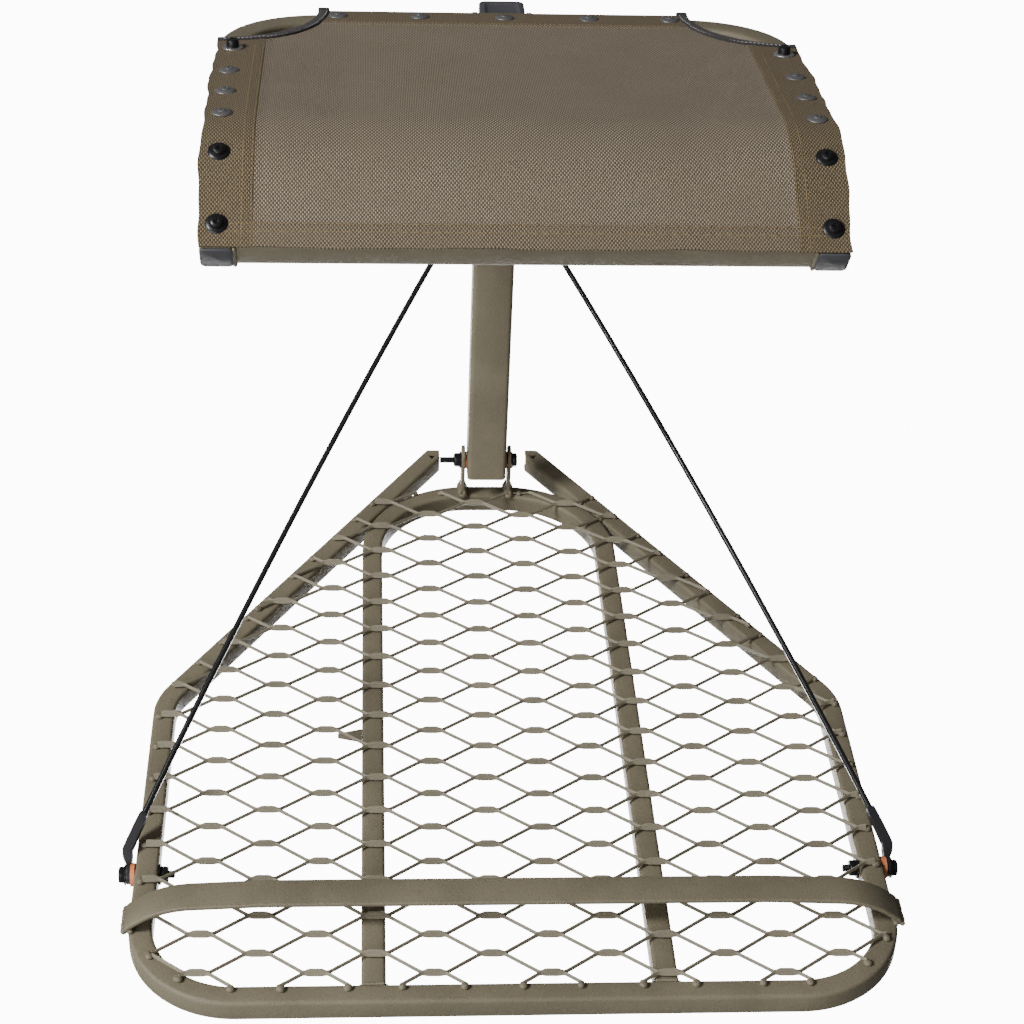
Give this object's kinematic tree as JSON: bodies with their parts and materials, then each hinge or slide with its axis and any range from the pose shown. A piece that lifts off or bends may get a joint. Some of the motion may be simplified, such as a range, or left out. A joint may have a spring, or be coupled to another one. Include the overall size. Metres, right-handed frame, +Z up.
{
  "type": "hang on tree stand",
  "caption": "Folding hang-on tree stand: expanded-metal platform hinged on a short post, held by coated cables, with a flip-up fabric sling seat and a footrest strap.",
  "frame": {"origin": "middle of the tree bracket's flat face that is set against the tree", "axes": "+Z up, +Y towards the tree, +X to the right of a viewer who faces the stand and the tree"},
  "size_m": [0.6354, 0.7586, 0.5717],
  "materials": {
    "frame_paint": "fine-grained olive tan powder coat",
    "deck_paint": "grey-olive powder coat over expanded steel",
    "sling_fabric": "coarse plain weave in brown-olive",
    "binding_tape": "black woven edge tape",
    "grey_plastic": "moulded grey plastic",
    "orange_plastic": "moulded orange plastic",
    "cable_coating": "smooth black vinyl over wire rope",
    "fastener_black": "black oxide or black lacquer on steel",
    "screw_black": "black screw head in a cup washer",
    "screw_grey": "zinc-grey screw head in a cup washer"
  },
  "bodies": {
    "post": {"post_tube": "frame_paint", "post_cap": "grey_plastic", "tree_bracket": "frame_paint", "anchor_bolt": "fastener_black", "anchor_nut": "fastener_black", "seat_pivot_bolt": "fastener_black", "seat_pivot_nut": "fastener_black", "pivot_bushing_left": "orange_plastic", "pivot_bushing_right": "orange_plastic"},
    "platform": {"outer_frame": "frame_paint", "hoop_frame": "frame_paint", "expanded_mesh_deck": "deck_paint", "footrest_bar": "frame_paint", "hinge_ear_left": "frame_paint", "hinge_ear_right": "frame_paint", "fold_bolt": "fastener_black", "fold_nut": "fastener_black", "cable_bolt_left": "fastener_black", "cable_bolt_right": "fastener_black", "cable_nut_left": "fastener_black", "cable_nut_right": "fastener_black", "cable_spacer_left": "orange_plastic", "cable_spacer_right": "orange_plastic"},
    "seat": {"seat_frame": "frame_paint", "seat_crossbar": "frame_paint", "seat_sling": "sling_fabric", "seat_plug_left": "grey_plastic", "seat_plug_right": "grey_plastic", "seat_hinge_plate_left": "frame_paint", "seat_hinge_plate_right": "frame_paint", "seat_stop_plate": "frame_paint", "seat_binding_left": "binding_tape", "seat_binding_right": "binding_tape", "seat_screw_left_1": "screw_black", "seat_screw_left_2": "screw_grey", "seat_screw_left_3": "screw_grey", "seat_screw_left_4": "screw_grey", "seat_screw_left_5": "screw_black", "seat_screw_left_6": "screw_black", "seat_screw_right_1": "screw_black", "seat_screw_right_2": "screw_grey", "seat_screw_right_3": "screw_grey", "seat_screw_right_4": "screw_grey", "seat_screw_right_5": "screw_black", "seat_screw_right_6": "screw_black", "seat_screw_rear_1": "screw_grey", "seat_screw_rear_2": "screw_grey", "seat_screw_rear_3": "screw_grey", "seat_screw_rear_4": "screw_grey", "seat_screw_rear_5": "screw_grey"},
    "cable_lower_left": {"cable_lug_lower_left": "fastener_black", "cable_lower_left": "cable_coating"},
    "cable_upper_left": {"cable_upper_left": "cable_coating"},
    "anchor_lug_left": {"cable_lug_upper_left": "fastener_black"},
    "cable_lower_right": {"cable_lug_lower_right": "fastener_black", "cable_lower_right": "cable_coating"},
    "cable_upper_right": {"cable_upper_right": "cable_coating"},
    "anchor_lug_right": {"cable_lug_upper_right": "fastener_black"}
  },
  "joints": [
    {"name": "platform_fold", "type": "hinge", "parent": "post", "child": "platform", "pos_m": [0, -0.02335, -0.4178], "axis": [-1, 0, 0], "range_deg": [0, 86]},
    {"name": "seat_flip", "type": "hinge", "parent": "post", "child": "seat", "pos_m": [0, -0.02335, 0.0435], "axis": [-1, 0, 0], "range_deg": [0, 90]},
    {"name": "cable_swivel_left", "type": "hinge", "parent": "platform", "child": "cable_lower_left", "pos_m": [-0.3106, -0.5585, -0.4645], "axis": [-1, 0, 0], "range_deg": [0, 5.36]},
    {"name": "cable_bend_left", "type": "hinge", "parent": "cable_lower_left", "child": "cable_upper_left", "pos_m": [-0.10889, -0.19513, -0.22515], "axis": [-1, 0, 0], "range_deg": [0, 166.5], "deforming": ["cable_lower_left", "cable_upper_left"]},
    {"name": "anchor_swivel_left", "type": "hinge", "parent": "post", "child": "anchor_lug_left", "pos_m": [-0.02085, -0.02335, -0.112], "axis": [1, 0, 0], "range_deg": [0, 102.13]},
    {"name": "cable_swivel_right", "type": "hinge", "parent": "platform", "child": "cable_lower_right", "pos_m": [0.3106, -0.5585, -0.4645], "axis": [-1, 0, 0], "range_deg": [0, 5.36]},
    {"name": "cable_bend_right", "type": "hinge", "parent": "cable_lower_right", "child": "cable_upper_right", "pos_m": [0.10889, -0.19513, -0.22515], "axis": [-1, 0, 0], "range_deg": [0, 166.5], "deforming": ["cable_lower_right", "cable_upper_right"]},
    {"name": "anchor_swivel_right", "type": "hinge", "parent": "post", "child": "anchor_lug_right", "pos_m": [0.02085, -0.02335, -0.112], "axis": [1, 0, 0], "range_deg": [0, 102.13]}
  ],
  "couplings": [
    {"joint": "seat_flip", "follows": "platform_fold", "ratio": 1.0465},
    {"joint": "cable_swivel_left", "follows": "platform_fold", "ratio": 0.062337},
    {"joint": "cable_bend_left", "follows": "platform_fold", "ratio": 1.9361},
    {"joint": "anchor_swivel_left", "follows": "platform_fold", "ratio": 1.1876},
    {"joint": "cable_swivel_right", "follows": "platform_fold", "ratio": 0.062337},
    {"joint": "cable_bend_right", "follows": "platform_fold", "ratio": 1.9361},
    {"joint": "anchor_swivel_right", "follows": "platform_fold", "ratio": 1.1876}
  ]
}
